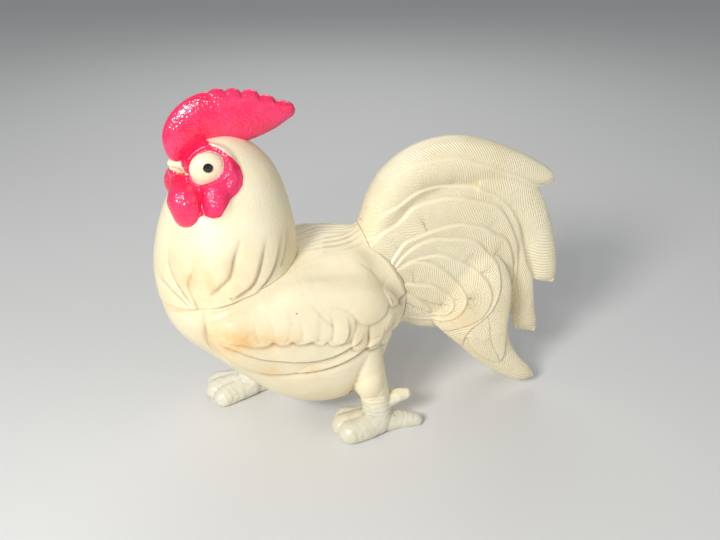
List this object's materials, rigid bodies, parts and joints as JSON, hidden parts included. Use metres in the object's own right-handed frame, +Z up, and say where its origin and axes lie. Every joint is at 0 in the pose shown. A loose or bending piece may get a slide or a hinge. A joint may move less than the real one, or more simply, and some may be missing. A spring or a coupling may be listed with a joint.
{
  "type": "rubber toy rooster",
  "caption": "Hollow moulded rubber rooster standing in stride, with turning head, tail and legs and a reed squeaker in its belly.",
  "frame": {"origin": "on the floor under the middle of the bird's length and width", "axes": "the bird faces -Y, its left side is +X, and +Z is up"},
  "size_m": [0.0628, 0.1661, 0.1416],
  "materials": {
    "cream_rubber": "satin",
    "leg_rubber": "glossy",
    "red_rubber": "glossy",
    "black_bead": "glossy",
    "squeaker_tin": "satin",
    "squeaker_brass": "satin"
  },
  "bodies": {
    "body": {"body_shell": "cream_rubber", "squeaker_cup": "squeaker_tin", "squeaker_plate": "squeaker_brass", "squeaker_rivet": "squeaker_tin"},
    "head": {"head_shell": "cream_rubber", "comb": "red_rubber", "left_wattle": "red_rubber", "right_wattle": "red_rubber", "left_pupil": "black_bead", "right_pupil": "black_bead"},
    "tail": {"tail_shell": "cream_rubber"},
    "left_leg": {"left_leg": "leg_rubber"},
    "right_leg": {"right_leg": "leg_rubber"},
    "reed": {"squeaker_reed": "squeaker_brass"}
  },
  "joints": [
    {"name": "head_turn", "type": "hinge", "parent": "body", "child": "head", "pos_m": [0, -0.056, 0.0725], "axis": [0, -0.2419, 0.9703], "range_deg": [-45, 45]},
    {"name": "tail_twist", "type": "hinge", "parent": "body", "child": "tail", "pos_m": [0, 0.0134, 0.0644], "axis": [0, 0.9553, 0.2957], "range_deg": [-8, 8]},
    {"name": "left_leg_turn", "type": "hinge", "parent": "body", "child": "left_leg", "pos_m": [0.019, -0.004, 0.021], "axis": [0, 0, 1], "range_deg": [-20, 20]},
    {"name": "right_leg_turn", "type": "hinge", "parent": "body", "child": "right_leg", "pos_m": [-0.0185, -0.041, 0.0205], "axis": [0, 0, 1], "range_deg": [-20, 20]},
    {"name": "reed_flex", "type": "hinge", "parent": "body", "child": "reed", "pos_m": [0, -0.0175, 0.01595], "axis": [-1, 0, 0], "range_deg": [0, 4], "stiffness_Nm_per_rad": 0.0002}
  ]
}
